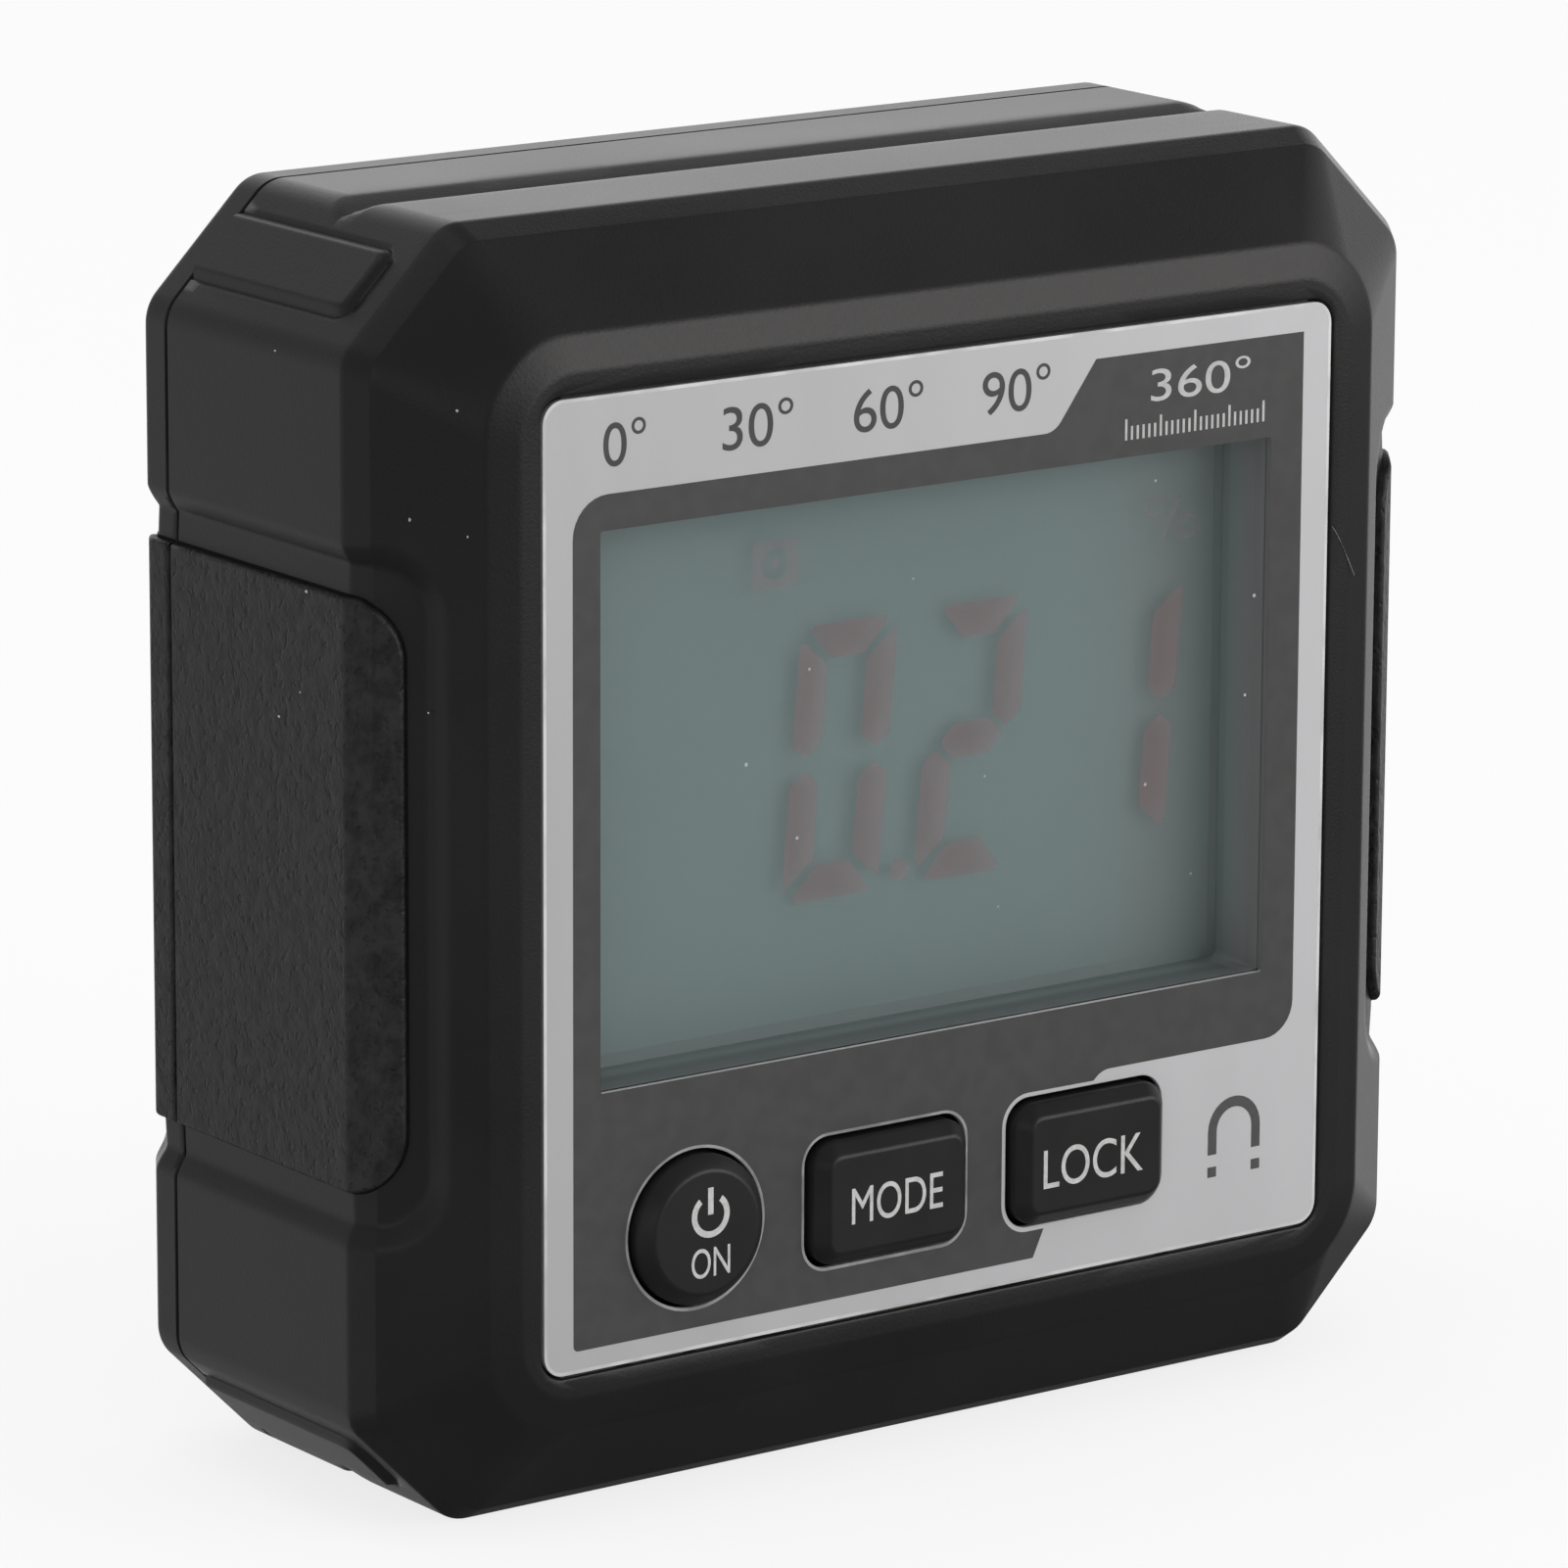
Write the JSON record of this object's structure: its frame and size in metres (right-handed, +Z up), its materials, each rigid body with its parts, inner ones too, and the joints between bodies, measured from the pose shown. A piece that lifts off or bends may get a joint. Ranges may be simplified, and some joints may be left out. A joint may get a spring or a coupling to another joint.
{
  "type": "digital angle gauge",
  "caption": "Square hand-held inclinometer box with a display, push buttons, rubber side grips, a grooved magnetic base and a sliding battery door.",
  "frame": {"origin": "middle of the base, under the middle of the whole depth", "axes": "+X to the right as the display is read, +Y from the display to the back, +Z up from the base"},
  "size_m": [0.06, 0.025, 0.06],
  "materials": {
    "case_black": "fine textured black ABS",
    "grip_rubber": "leather-grained black rubber",
    "label_silver": "silver film with dark grey print",
    "window_clear": "clear plastic",
    "lcd_glass": "grey-green reflective display",
    "frame_white": "white plastic",
    "strip_pink": "elastomer",
    "key_black": "satin black plastic",
    "chip_black": "moulded epoxy",
    "board_green": "solder mask",
    "cell_sleeve": "plain printed sleeve",
    "contact_metal": "nickel-plated spring steel",
    "magnet_metal": "nickel-plated magnet",
    "screw_steel": "zinc-plated steel"
  },
  "bodies": {
    "case": {"front_housing": "case_black", "back_cover": "case_black", "grip_left_front": "grip_rubber", "grip_left_rear": "grip_rubber", "grip_right_front": "grip_rubber", "grip_right_rear": "grip_rubber", "front_label": "label_silver", "display_window": "window_clear", "lcd_panel": "lcd_glass", "lcd_frame": "frame_white", "lcd_connector": "strip_pink", "switch_power": "chip_black", "switch_unit": "chip_black", "switch_hold": "chip_black", "circuit_board": "board_green", "controller_chip": "chip_black", "tilt_sensor": "chip_black", "cell_left": "cell_sleeve", "cell_right": "cell_sleeve", "contact_bridge": "contact_metal", "contact_plus": "contact_metal", "contact_minus": "contact_metal", "magnet_front_left": "magnet_metal", "magnet_front_right": "magnet_metal", "magnet_rear_left": "magnet_metal", "magnet_rear_right": "magnet_metal", "case_screws": "screw_steel", "board_screws": "screw_steel"},
    "power_button": {"button_power": "key_black"},
    "unit_button": {"button_unit": "key_black"},
    "hold_button": {"button_hold": "key_black"},
    "door": {"battery_door": "case_black"}
  },
  "joints": [
    {"name": "press_power", "type": "slide", "parent": "case", "child": "power_button", "axis": [0, 1, 0], "range_m": [0, 0.0004], "stiffness_N_per_m": 1500},
    {"name": "press_unit", "type": "slide", "parent": "case", "child": "unit_button", "axis": [0, 1, 0], "range_m": [0, 0.0004], "stiffness_N_per_m": 1500},
    {"name": "press_hold", "type": "slide", "parent": "case", "child": "hold_button", "axis": [0, 1, 0], "range_m": [0, 0.0004], "stiffness_N_per_m": 1500},
    {"name": "slide_door", "type": "slide", "parent": "case", "child": "door", "axis": [0, 0, 1], "range_m": [0, 0.054]}
  ]
}
